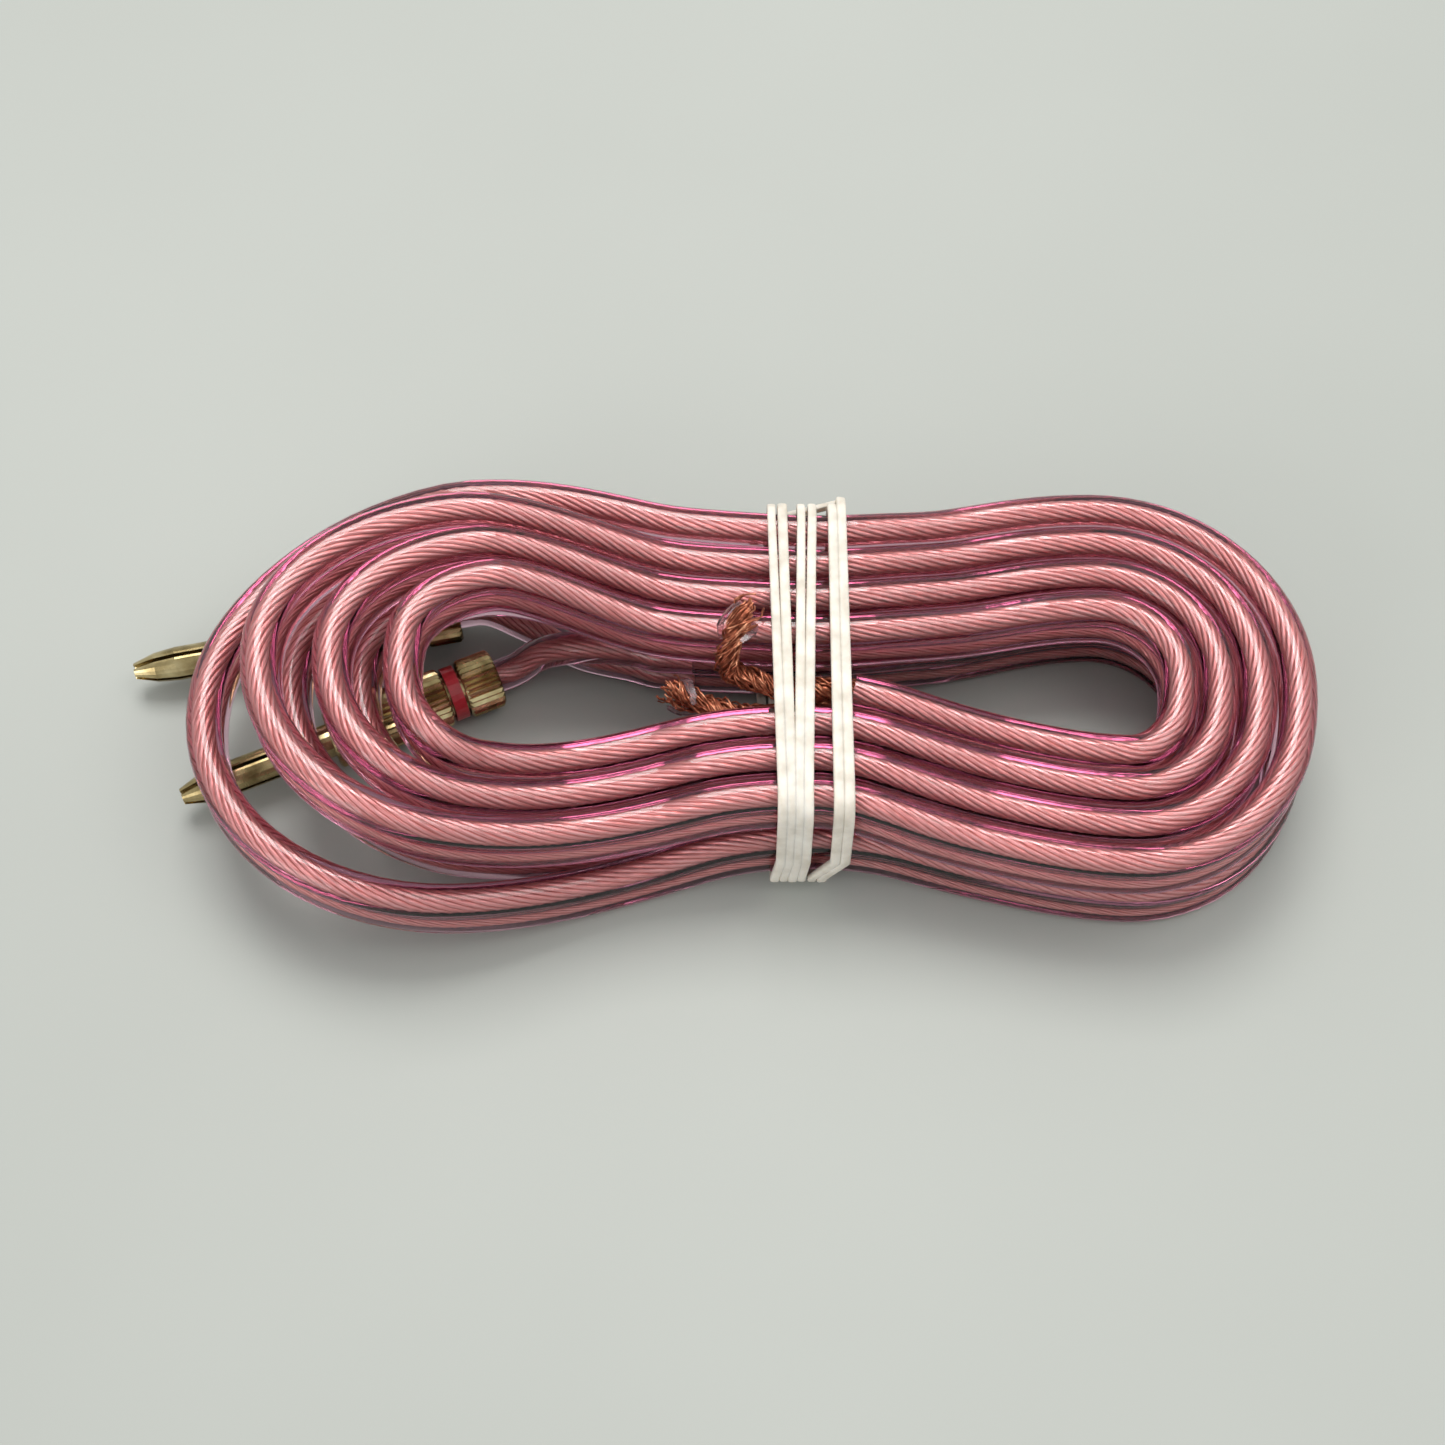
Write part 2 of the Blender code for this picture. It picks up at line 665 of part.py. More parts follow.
def jacket_shred(name, side, shown, root, jacket):
    """Slit piece of jacket left round a bare end."""
    points = bare_route(name, side)
    number = min(round(SHRED_SHARES[name] * (len(points) - 1)), len(points) - 2)
    way = (points[number + 1] - points[number - 1]).normalized()
    inner = BARE_OD / 2 + FIT
    outer = inner + SHRED_THICK
    half = (2 * math.pi - SHRED_OPENING) / 2
    angles = [half * (2 * step / 12 - 1) for step in range(13)]
    loop = [(outer * math.cos(angle), outer * math.sin(angle)) for angle in angles]
    loop += [(inner * math.cos(angle), inner * math.sin(angle)) for angle in reversed(angles)]
    shred = flat_outline(f"jacket_shred_{name}", [loop], SHRED_LENGTH, shown, root, jacket)
    shred.location = points[number]
    shred.rotation_euler = way.to_track_quat("Z", "X").to_euler()


def centre_part(root, shown):
    """Moves the whole part so that the middle of its footprint is at the origin."""
    bpy.context.view_layer.update()
    graph = bpy.context.evaluated_depsgraph_get()
    corners = []
    for item in shown.objects:
        if item.type != "EMPTY":
            final = item.evaluated_get(graph)
            data = final.to_mesh()
            corners.extend(final.matrix_world @ corner.co for corner in data.vertices)
            final.to_mesh_clear()
    corners = numpy.array(corners)
    middle = (corners.min(axis=0) + corners.max(axis=0)) / 2
    root.location = (-middle[0], -middle[1], 0)
    bpy.context.view_layer.update()
    print(f"hank frame at {root.location.x / MM:.3f}, {root.location.y / MM:.3f} mm")


def main():
    clear_scene()
    shown = new_collection(OBJECT_NAME)
    guides = new_collection("guides")
    root = bpy.data.objects.new("lead_frame", None)
    shown.objects.link(root)

    jacket = new_material("clear_pink_jacket", (0.62, 0.16, 0.24), 0.15)
    copper = new_material("copper_strands", (0.72, 0.33, 0.18), 0.35, 1.0)
    gold = new_material("gold_plate", (0.55, 0.43, 0.20), 0.28, 1.0)
    rubber = new_material("cream_rubber", (0.86, 0.80, 0.68), 0.6)

    cord_hank(shown, guides, root, jacket)
    rubber_band(shown, root, rubber)
    for name, side in (("black", -0.5), ("red", 0.5)):
        axis = plug_axis(name, shown, root)
        plastic = new_material(f"{name}_ring", PLUGS[name][2], 0.4)
        plug_pin(f"plug_{name}", shown, guides, axis, gold)
        plug_sleeve(f"plug_{name}", shown, guides, axis, gold)
        plug_ring(f"plug_{name}", shown, axis, plastic)
        plug_cap(f"plug_{name}", shown, guides, axis, gold)
        plug_collet(f"plug_{name}", shown, guides, axis, gold)
        leg(name, side, shown, root, jacket, copper)
    for name, side in (("front", -1), ("back", 1)):
        bare_end(name, side, shown, root, copper)
        jacket_shred(name, side, shown, root, jacket)
    centre_part(root, shown)


main()
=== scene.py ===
"""A clear twin speaker lead in a banded hank: two screw plugs at one end, bare strands at the other."""

import math
import random

import bmesh
import bpy
import numpy as np
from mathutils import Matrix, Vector


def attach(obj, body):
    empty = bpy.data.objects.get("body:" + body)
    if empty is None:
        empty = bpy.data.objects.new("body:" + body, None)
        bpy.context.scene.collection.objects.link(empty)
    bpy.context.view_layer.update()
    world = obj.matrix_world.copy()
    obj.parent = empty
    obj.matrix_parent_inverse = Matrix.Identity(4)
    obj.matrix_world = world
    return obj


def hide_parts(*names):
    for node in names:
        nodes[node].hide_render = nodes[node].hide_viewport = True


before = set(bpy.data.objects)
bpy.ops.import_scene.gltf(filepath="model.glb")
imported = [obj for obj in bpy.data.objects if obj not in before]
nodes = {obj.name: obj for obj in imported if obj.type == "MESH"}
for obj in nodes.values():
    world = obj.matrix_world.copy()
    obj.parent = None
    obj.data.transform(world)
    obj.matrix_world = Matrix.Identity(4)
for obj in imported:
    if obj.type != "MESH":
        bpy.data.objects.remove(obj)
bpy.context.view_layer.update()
MM = 0.001

# Camera: the photograph was taken by hand from the front, looking down on the table at about 62 degrees.
CAMERA_AIM = Vector((1.526, 3.198, 0.0)) * MM
CAMERA_DISTANCE = 260 * MM
CAMERA_ELEVATION = math.radians(62.5)
CAMERA_LENS = 54.73

camera_data = bpy.data.cameras.new("camera")
camera_data.sensor_width = 36.0
camera_data.lens = CAMERA_LENS
camera_data.clip_start = 0.01
camera_data.clip_end = 20.0
camera = bpy.data.objects.new("camera", camera_data)
bpy.context.scene.collection.objects.link(camera)
towards_camera = Vector((0.0, -math.cos(CAMERA_ELEVATION), math.sin(CAMERA_ELEVATION)))
camera.location = CAMERA_AIM + towards_camera * CAMERA_DISTANCE
camera.rotation_mode = "QUATERNION"
camera.rotation_quaternion = (-towards_camera).to_track_quat("-Z", "Y")
bpy.context.scene.camera = camera

# Hank of twin cord: 1.6 m of figure-eight speaker cord, standing on edge and wound outwards in a lower
# layer, then inwards in an upper one. The jacket is clear PVC with a rose tint, extruded over two bundles
# of copper strands.
HANK_AT = Vector((5.626, 1.798, 0.0)) * MM
CONDUCTOR_OD = 3.9 * MM
CONDUCTOR_STEP = 4.0 * MM
CORE_OD = 1.65 * MM
CORD_HIGH = CONDUCTOR_OD + CONDUCTOR_STEP
LOOP_STEP = CONDUCTOR_OD + 0.5 * MM
LAYER_STEP = CORD_HIGH + 0.7 * MM
REST_CUT = 0.1 * CONDUCTOR_OD
TIP_LEFT = 61.5 * MM
TIP_RIGHT = 62.3 * MM
PEAK_LEFT = {1: 31.0 * MM, -1: 35.0 * MM}
PEAK_RIGHT = {1: 39.0 * MM, -1: 40.5 * MM}
LOBE_LEFT = {1: 21.6 * MM, -1: 24.3 * MM}
LOBE_RIGHT = {1: 23.0 * MM, -1: 23.8 * MM}
WAIST_X = 5.0 * MM
WAIST = {1: 18.2 * MM, -1: 18.5 * MM}
FIRST_TURN = 0.215
LAST_TURN = 6.729
REVERSE_TURN = 3.12
REVERSE_DIP = 0.2
CLIMB_FROM = 3.05
CLIMB_TO = 3.22
LEFT_SPREAD = 3.4 * MM
LOOSE_LOOPS = ((2.56, 0.08, 1.8 * MM), (2.93, 0.09, 3.6 * MM), (3.03, 0.05, -1.8 * MM))
FRONT_SLIP = 1.3 * MM
FRONT_SLIP_FROM = 6.0 * MM
FRONT_SLIP_RAMP = 12.0 * MM
PLUG_LIFT = 7.6 * MM
BAND_LIFT = 1.455 * MM
PLUG_RAMP = {1: (2.0 * MM, 37.0 * MM), -1: (14.0 * MM, 54.0 * MM)}
WAIST_RAMP = 13.0 * MM
FLOOR_SKIN = 0.01 * MM
JACKET_POINTS = 900
CORE_POINTS = 1640
STRAND_LAY = 17.0 * MM
STRAND_BUNCHES = 9
MERGE_WITHIN = 0.0005 * MM


def smooth_step(value):
    """Smooth rise from 0 to 1 between the same two values."""
    value = min(max(value, 0.0), 1.0)
    return value * value * (3 - 2 * value)


def outline(turn):
    """Middle line of the outermost loop. Whole turns are the left tip, left along the back."""
    share = turn % 1.0
    side = 1 if share < 0.5 else -1
    along = share if side > 0 else 1.0 - share
    if along < 0.125:
        angle = along / 0.125 * math.pi / 2
        x = -PEAK_LEFT[side] - (TIP_LEFT - PEAK_LEFT[side]) * math.cos(angle)
        return Vector((x, side * LOBE_LEFT[side] * math.sin(angle)))
    if along > 0.375:
        angle = (0.5 - along) / 0.125 * math.pi / 2
        x = PEAK_RIGHT[side] + (TIP_RIGHT - PEAK_RIGHT[side]) * math.cos(angle)
        return Vector((x, side * LOBE_RIGHT[side] * math.sin(angle)))
    x = -PEAK_LEFT[side] + (PEAK_LEFT[side] + PEAK_RIGHT[side]) * (along - 0.125) / 0.25
    left = x < WAIST_X
    lobe = LOBE_LEFT[side] if left else LOBE_RIGHT[side]
    half = WAIST_X + PEAK_LEFT[side] if left else PEAK_RIGHT[side] - WAIST_X
    drawn_in = (1 + math.cos(math.pi * (x - WAIST_X) / half)) / 2
    return Vector((x, side * (lobe - (lobe - WAIST[side]) * drawn_in)))


def cord_place(turn):
    """Middle of the twin cord, between its two conductors."""
    away = abs(turn - REVERSE_TURN)
    inside = away - REVERSE_DIP * math.cos(min(away / REVERSE_DIP, 1.0) * math.pi / 2) ** 2
    step = outline(turn + 0.0005) - outline(turn - 0.0005)
    step.normalize()
    across = Vector((step.y, -step.x))
    loop = outline(turn)
    spot = loop + across * (LOOP_STEP * inside)
    spot.x += LEFT_SPREAD * inside * max(math.cos(2 * math.pi * turn), 0.0) ** 3
    for middle, wide, reach in LOOSE_LOOPS:
        spot -= across * reach * math.exp(-(((turn - middle) / wide) ** 2))
    layer = smooth_step((turn - CLIMB_FROM) / (CLIMB_TO - CLIMB_FROM))
    right = smooth_step((loop.x - FRONT_SLIP_FROM) / FRONT_SLIP_RAMP)
    spot.y -= FRONT_SLIP * layer * right * smooth_step(-loop.y / FRONT_SLIP_RAMP)
    near, far = PLUG_RAMP[1 if turn % 1.0 < 0.5 else -1]
    over_plugs = (PLUG_LIFT + REST_CUT) * smooth_step((-loop.x - near) / (far - near))
    over_band = (BAND_LIFT + REST_CUT) * math.exp(-(((loop.x - WAIST_X) / WAIST_RAMP) ** 4))
    height = over_plugs + over_band - REST_CUT + CORD_HIGH / 2 + LAYER_STEP * layer
    return Vector((spot.x, spot.y, height))


def cord_line(count):
    """Points along the middle of the cord, and the way from its lower to its upper conductor at each."""
    middle = [cord_place(float(turn)) for turn in np.linspace(FIRST_TURN, LAST_TURN, count)]
    ups = []
    for index in range(count):
        ahead = (middle[min(index + 1, count - 1)] - middle[max(index - 1, 0)]).normalized()
        side = ahead.cross(Vector((0, 0, 1))).normalized()
        ups.append(side.cross(ahead))
    return middle, ups


def line_lengths(points):
    """Length along the line up to each of its points."""
    steps = [0.0] + [(two - one).length for one, two in zip(points, points[1:])]
    return list(np.cumsum(steps))


def swept(name, points, section, tilts=None, shares=None, closed=False, twist="Z_UP"):
    """A mesh made by sweeping a closed section along a line of points given in the hank's own frame."""
    across = bpy.data.curves.new(name + "_section", "CURVE")
    ring = across.splines.new("POLY")
    ring.points.add(len(section) - 1)
    for knot, (x, y) in zip(ring.points, section):
        knot.co = (x, y, 0.0, 1.0)
    ring.use_cyclic_u = True
    guide = bpy.data.objects.new(name + "_section", across)
    bpy.context.scene.collection.objects.link(guide)
    curve = bpy.data.curves.new(name + "_line", "CURVE")
    curve.dimensions = "3D"
    curve.twist_mode = twist
    curve.bevel_mode = "OBJECT"
    curve.bevel_object = guide
    curve.use_fill_caps = not closed
    spline = curve.splines.new("POLY")
    spline.points.add(len(points) - 1)
    spline.use_cyclic_u = closed
    for index, (knot, spot) in enumerate(zip(spline.points, points)):
        knot.co = (*(spot + HANK_AT), 1.0)
        knot.tilt = tilts[index] if tilts else 0.0
        knot.radius = shares[index] if shares else 1.0
    line = bpy.data.objects.new(name + "_line", curve)
    bpy.context.scene.collection.objects.link(line)
    bpy.context.view_layer.update()
    mesh = bpy.data.meshes.new_from_object(line.evaluated_get(bpy.context.evaluated_depsgraph_get()))
    for helper in (line, guide):
        bpy.data.objects.remove(helper, do_unlink=True)
    work = bmesh.new()
    work.from_mesh(mesh)
    bmesh.ops.remove_doubles(work, verts=work.verts, dist=MERGE_WITHIN)
    bmesh.ops.recalc_face_normals(work, faces=work.faces)
    work.to_mesh(mesh)
    work.free()
    mesh.name = name
    mesh.shade_smooth()
    mesh.set_sharp_from_angle(angle=math.radians(60))
    piece = bpy.data.objects.new(name, mesh)
    bpy.context.scene.collection.objects.link(piece)
    return piece


def circle_section(diameter, count):
    """Outline of a round bar."""
    angles = [2 * math.pi * step / count for step in range(count)]
    return [(diameter / 2 * math.cos(angle), diameter / 2 * math.sin(angle)) for angle in angles]


def strand_section(diameter):
    """Outline across a bundle of twisted strands, scalloped where its bunches lie side by side."""
    section = []
    for step in range(3 * STRAND_BUNCHES):
        angle = 2 * math.pi * step / (3 * STRAND_BUNCHES)
        radius = diameter / 2 * (1.03 if step % 3 else 0.87)
        section.append((radius * math.cos(angle), radius * math.sin(angle)))
    return section


def lay_of_strands(points):
    """Turn of the section at each point, once round in each lay. A curve's tilt has an upper limit, so
    whole turns are left out."""
    return [2 * math.pi * (length / STRAND_LAY % 1.0) for length in line_lengths(points)]


def figure_eight_section():
    """Outline across the jacket: two round conductors joined by a web."""
    web_angle = math.radians(46)
    upper = []
    for step in range(15):
        angle = -web_angle + (math.pi + 2 * web_angle) * step / 14
        x = CONDUCTOR_OD / 2 * math.cos(angle)
        upper.append((x, CONDUCTOR_STEP / 2 + CONDUCTOR_OD / 2 * math.sin(angle)))
    return upper + [(-x, -y) for x, y in upper]


def new_material(name, **sockets):
    """A material whose Principled shader has these values on its own sockets, with its links."""
    material = bpy.data.materials.new(name)
    material.use_nodes = True
    shader = material.node_tree.nodes["Principled BSDF"]
    for socket, value in sockets.items():
        shader.inputs[socket.replace("_", " ")].default_value = value
    return material, shader, material.node_tree.links


def noise_of(tree, scale, detail=2.0, stretch=(1.0, 1.0, 1.0), source="Object", roughness=0.5):
    """Noise on the piece's own coordinates, stretched along an axis where the finish runs that way."""
    place = tree.nodes.new("ShaderNodeTexCoord")
    mapping = tree.nodes.new("ShaderNodeMapping")
    mapping.inputs["Scale"].default_value = stretch
    noise = tree.nodes.new("ShaderNodeTexNoise")
    noise.inputs["Scale"].default_value = scale
    noise.inputs["Detail"].default_value = detail
    noise.inputs["Roughness"].default_value = roughness
    tree.links.new(place.outputs[source], mapping.inputs["Vector"])
    tree.links.new(mapping.outputs["Vector"], noise.inputs["Vector"])
    return noise.outputs["Fac"]


def ramp_of(tree, value, stops):
    """Colours picked by a value: stops are (position, linear colour) pairs."""
    ramp = tree.nodes.new("ShaderNodeValToRGB")
    while len(ramp.color_ramp.elements) < len(stops):
        ramp.color_ramp.elements.new(0.5)
    for element, (position, colour) in zip(ramp.color_ramp.elements, stops):
        element.position = position
        element.color = (*colour, 1.0)
    tree.links.new(value, ramp.inputs["Fac"])
    return ramp.outputs["Color"]


def bump_of(tree, value, distance, strength, shader):
    """Small unevenness of the surface, set by a value."""
    bump = tree.nodes.new("ShaderNodeBump")
    bump.inputs["Distance"].default_value = distance
    bump.inputs["Strength"].default_value = strength
    tree.links.new(value, bump.inputs["Height"])
    tree.links.new(bump.outputs["Normal"], shader.inputs["Normal"])


def grey(level):
    """One level in all three colours."""
    return (level, level, level)


rose_pvc, shader, links = new_material(
    "clear_rose_pvc",
    Base_Color=(0.97, 0.87, 0.93, 1.0),
    Roughness=0.05,
    IOR=1.5,
    Transmission_Weight=1.0,
)
bump_of(rose_pvc.node_tree, noise_of(rose_pvc.node_tree, 260.0, 3.0), 0.06 * MM, 0.35, shader)
tint = rose_pvc.node_tree.nodes.new("ShaderNodeVolumeAbsorption")
tint.inputs["Color"].default_value = (0.78, 0.32, 0.52, 1.0)
tint.inputs["Density"].default_value = 200.0
links.new(tint.outputs["Volume"], rose_pvc.node_tree.nodes["Material Output"].inputs["Volume"])

copper_in_jacket, shader, links = new_material(
    "copper_strands_in_jacket",
    Metallic=0.6,
)
tree = copper_in_jacket.node_tree
copper_tone = noise_of(tree, 1.0, 3.0, (420.0, 40.0, 1.0), "UV")
copper_colours = ((0.30, (0.80, 0.32, 0.26)), (0.48, (1.0, 0.56, 0.48)), (0.75, (1.0, 0.76, 0.68)))
# Painted shade: dark lines along the grooves between the strand bunches, multiplied into the copper colour.
grooves = tree.nodes.new("ShaderNodeTexWave")
grooves.bands_direction = "Y"
grooves.inputs["Scale"].default_value = 2 * math.pi * STRAND_BUNCHES / 20
place = tree.nodes.new("ShaderNodeTexCoord")
links.new(place.outputs["UV"], grooves.inputs["Vector"])
groove_painted_shade = ramp_of(tree, grooves.outputs["Fac"], ((0.02, (0.68, 0.48, 0.44)), (0.18, grey(1.0))))
copper_with_groove_shade = tree.nodes.new("ShaderNodeMixRGB")
copper_with_groove_shade.blend_type = "MULTIPLY"
copper_with_groove_shade.inputs["Fac"].default_value = 1.0
links.new(ramp_of(tree, copper_tone, copper_colours), copper_with_groove_shade.inputs["Color1"])
links.new(groove_painted_shade, copper_with_groove_shade.inputs["Color2"])
links.new(copper_with_groove_shade.outputs["Color"], shader.inputs["Base Color"])
rough_stops = ((0.3, grey(0.30)), (0.8, grey(0.42)))
links.new(ramp_of(tree, noise_of(tree, 900.0), rough_stops), shader.inputs["Roughness"])
bump_of(tree, copper_tone, 0.08 * MM, 0.6, shader)

cord_middle, _ = cord_line(JACKET_POINTS)
cord_jacket = swept("twin_cord_jacket", cord_middle, figure_eight_section())
for corner in cord_jacket.data.vertices:
    corner.co.z = max(corner.co.z, FLOOR_SKIN)
cord_jacket.data.materials.append(rose_pvc)

core_middle, core_ups = cord_line(CORE_POINTS)
for name, side in (("lower", -1), ("upper", 1)):
    line = [spot + up * (side * CONDUCTOR_STEP / 2) for spot, up in zip(core_middle, core_ups)]
    core = swept(f"copper_core_{name}", line, strand_section(CORE_OD), lay_of_strands(line))
    core.data.materials.append(copper_in_jacket)
    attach(core, "lead")
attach(cord_jacket, "lead")
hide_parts("cord_hank")

# Legs: the twin cord is split where it nears the plugs. Each conductor keeps its round jacket up to the
# screw cap, where its strands go on through the cap into the pin.
AXIS_HEIGHT = 3.5 * MM
CAP_REAR = 38.6 * MM
JACKET_IN_CAP = 1.0 * MM
LEG_STRAIGHT = 1.9 * MM
STRANDS_IN_CAP = 12.0 * MM
SEAM = 0.05 * MM
PLUGS = {
    "black": (Vector((-73.4, 6.4, 0.0)) * MM, math.radians(12.0)),
    "red": (Vector((-66.0, -10.0, 0.0)) * MM, math.radians(23.9)),
}
LEG_ROUTES = {
    "black": ((-27.5, 13.0, 2.9), (-21.0, 9.5, 2.3), (-14.5, 7.8, 2.3)),
    "red": ((-25.2, 7.9, 5.2), (-20.5, 7.9, 6.5), (-14.5, 7.6, 6.5)),
}
LEG_STEP = 0.8 * MM


def smooth_route(start, way_in, through, end, way_out, step):
    """Points about a step apart on a smooth curve, with a given direction at each end."""
    knots = [start, *through, end]
    ways = [way_in.normalized()]
    for before, after in zip(knots, knots[2:]):
        ways.append((after - before).normalized())
    ways.append(way_out.normalized())
    points = [start]
    for index in range(len(knots) - 1):
        one = knots[index]
        two = knots[index + 1]
        reach = (two - one).length
        count = max(round(reach / step), 1)
        for part in range(1, count + 1):
            t = part / count
            ahead = reach * (ways[index] * (t**3 - 2 * t**2 + t) + ways[index + 1] * (t**3 - t**2))
            points.append(one * (2 * t**3 - 3 * t**2 + 1) + two * (3 * t**2 - 2 * t**3) + ahead)
    return points


def cut_face(turn, neighbour):
    """Middle of one end of the twin cord, the way out of it, and the direction between its conductors."""
    middle = cord_place(turn)
    out = (middle - cord_place(neighbour)).normalized()
    side = out.cross(Vector((0, 0, 1))).normalized()
    return middle, out, side.cross(out)


TURN_STEP = (LAST_TURN - FIRST_TURN) / JACKET_POINTS
for name, side in (("black", -0.5), ("red", 0.5)):
    tip, heading = PLUGS[name]
    tip = tip + Vector((0, 0, AXIS_HEIGHT))
    along = Vector((math.cos(heading), math.sin(heading), 0))
    face, out, between = cut_face(FIRST_TURN, FIRST_TURN + TURN_STEP)
    end = face + between * (side * CONDUCTOR_STEP) + out * SEAM
    bend = tip + along * (CAP_REAR + LEG_STRAIGHT)
    through = [Vector(point) * MM for point in LEG_ROUTES[name]]
    free = smooth_route(bend, along, through, end + out * CONDUCTOR_OD, -out, LEG_STEP)
    free += [end + out * CONDUCTOR_OD / 2, end]
    skin = [tip + along * (CAP_REAR - JACKET_IN_CAP), *free]
    inside = [tip + along * (CAP_REAR - JACKET_IN_CAP - STRANDS_IN_CAP), *skin]
    jacket = swept(f"leg_{name}_clear", skin, circle_section(CONDUCTOR_OD, 24))
    jacket.data.materials.append(rose_pvc)
    core = swept(f"leg_{name}_strands", inside, strand_section(CORE_OD), lay_of_strands(inside))
    core.data.materials.append(copper_in_jacket)
    for piece, node, finish in ((jacket, "jacket", "clear_jacket"), (core, "core", "copper_strands")):
        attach(piece, "lead")
        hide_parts(f"leg_{name}_{node}")

# Bare ends: at the other end the jacket has been torn off and the fine strands twisted by hand. They are
# frayed, kinked and tarnished, and scraps of the jacket still hang on them.
BARE_OD = 2.8 * MM
BARE_ROUTES = {
    "front": ((3.0, -4.2, 12.4), (-3.6, -3.6, 12.3), (-7.8, -2.3, 12.6), (-10.8, -0.6, 13.0)),
    "back": (
        (4.0, -2.6, 15.6),
        (-0.6, -0.8, 14.6),
        (-3.3, 0.3, 14.8),
        (-3.6, 0.9, 17.0),
        (-2.3, 3.4, 19.6),
        (-0.6, 6.4, 20.0),
    ),
}
BARE_STEP = 0.45 * MM
FRAYED_STRANDS = 44
STRAND_OD = 0.32 * MM
STRAND_LAYS = (7.5, 11.5)
HEART_SHARE = 0.55
HEART_SHORT = 3
SCRAP_OUT = 1.75 * MM
SCRAP_WIDE = 1.0 * MM
SCRAP_THICK = 0.3 * MM
SLIVER_OUT = 1.9 * MM
SLIVER_WIDE = 0.8 * MM
SLIVER_THICK = 0.28 * MM

bare_copper, shader, links = new_material("bare_copper_strands", Metallic=0.85)
tree = bare_copper.node_tree
tarnish = noise_of(tree, 1100.0, 4.0)
bare_colours = ((0.3, (0.14, 0.035, 0.018)), (0.52, (0.42, 0.13, 0.07)), (0.74, (0.92, 0.46, 0.28)))
links.new(ramp_of(tree, tarnish, bare_colours), shader.inputs["Base Color"])
links.new(ramp_of(tree, tarnish, ((0.3, grey(0.55)), (0.7, grey(0.24)))), shader.inputs["Roughness"])
bump_of(tree, noise_of(tree, 2600.0, 2.0), 0.03 * MM, 0.5, shader)

cloudy_pvc, shader, _ = new_material(
    "stretched_pvc_scrap",
    Base_Color=(0.72, 0.56, 0.60, 1.0),
    Roughness=0.15,
    IOR=1.45,
    Transmission_Weight=0.93,
)
bump_of(cloudy_pvc.node_tree, noise_of(cloudy_pvc.node_tree, 900.0, 3.0), 0.08 * MM, 0.5, shader)


def bare_route(name, side):
    """Points of one bare end, from the cut face of the jacket to its tip."""
    face, out, between = cut_face(LAST_TURN, LAST_TURN - TURN_STEP)
    start = face + between * (side * CONDUCTOR_STEP / 2)
    through = [Vector(point) * MM for point in BARE_ROUTES[name]]
    last = through.pop()
    return smooth_route(start, out, through, last, last - through[-1], BARE_STEP)


def frames_along(points):
    """Two unit vectors across the line at each point, carried along it without twist."""
    side = Vector((0, 0, 1))
    found = []
    for index in range(len(points)):
        ahead = (points[min(index + 1, len(points) - 1)] - points[max(index - 1, 0)]).normalized()
        side = (side - ahead * side.dot(ahead)).normalized()
        found.append((side, ahead.cross(side)))
    return found


def frayed_bundle(name, points, seed):
    """Many fine strands twisted round one line, some of them short, kinked or standing off near the tip."""
    draw = random.Random(seed)
    frames = frames_along(points)
    lengths = line_lengths(points)
    curve = bpy.data.curves.new(name, "CURVE")
    curve.dimensions = "3D"
    curve.bevel_depth = STRAND_OD / 2
    curve.bevel_resolution = 1
    curve.use_fill_caps = True
    for number in range(FRAYED_STRANDS):
        phase = draw.uniform(0, 2 * math.pi)
        out_from = BARE_OD / 2 * math.sqrt((number + 0.7) / FRAYED_STRANDS) * 0.92
        lay = draw.uniform(*STRAND_LAYS) * MM
        wobble = [draw.uniform(0, 2 * math.pi) for _ in range(4)]
        splay = draw.uniform(0.0, 0.7) if number > FRAYED_STRANDS // 2 else 0.0
        last = round((len(points) - 1) * draw.uniform(0.86, 1.0))
        spline = curve.splines.new("POLY")
        spline.points.add(last)
        for index in range(last + 1):
            share = index / (len(points) - 1)
            length = lengths[index] / MM
            loose = 0.14 * math.sin(length * 1.9 + wobble[0]) + 0.10 * math.sin(length * 4.3 + wobble[1])
            thin = 1 - 0.25 * smooth_step((share - 0.62) / 0.38)
            radius = out_from * (thin + loose) + BARE_OD / 2 * splay * smooth_step((share - 0.7) / 0.3)
            angle = phase + 2 * math.pi * lengths[index] / lay + 0.35 * math.sin(length * 1.1 + wobble[2])
            one, two = frames[index]
            spot = points[index] + (one * math.cos(angle) + two * math.sin(angle)) * radius + HANK_AT
            spline.points[index].co = (*spot, 1.0)
            spline.points[index].radius = 0.8 + 0.2 * math.sin(length + wobble[3])
    line = bpy.data.objects.new(name + "_line", curve)
    bpy.context.scene.collection.objects.link(line)
    bpy.context.view_layer.update()
    mesh = bpy.data.meshes.new_from_object(line.evaluated_get(bpy.context.evaluated_depsgraph_get()))
    bpy.data.objects.remove(line, do_unlink=True)
    mesh.name = name
    mesh.shade_smooth()
    piece = bpy.data.objects.new(name, mesh)
    bpy.context.scene.collection.objects.link(piece)
    return piece


def scrap(name, points, wide, thick):
    """A curled strip of jacket along a line of points."""
    corners = ((1, -1), (1, 1), (-1, 1), (-1, -1))
    section = [(wide / 2 * right, thick / 2 * up) for right, up in corners]
    shares = [0.55 + 0.45 * math.sin(math.pi * index / (len(points) - 1)) for index in range(len(points))]
    piece = swept(name, points, section, shares=shares, twist="MINIMUM")
    piece.data.materials.append(cloudy_pvc)
    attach(piece, "lead")
    return piece


def curl(points, frames, first, last, radius, turn_from, turn_by):
    """A line that winds part of the way round a bare end between two shares of its length."""
    found = []
    for step in range(13):
        share = step / 12
        at = first + (last - first) * share
        index = min(round(at * (len(points) - 1)), len(points) - 1)
        angle = turn_from + turn_by * share
        one, two = frames[index]
        found.append(points[index] + (one * math.cos(angle) + two * math.sin(angle)) * radius)
    return found


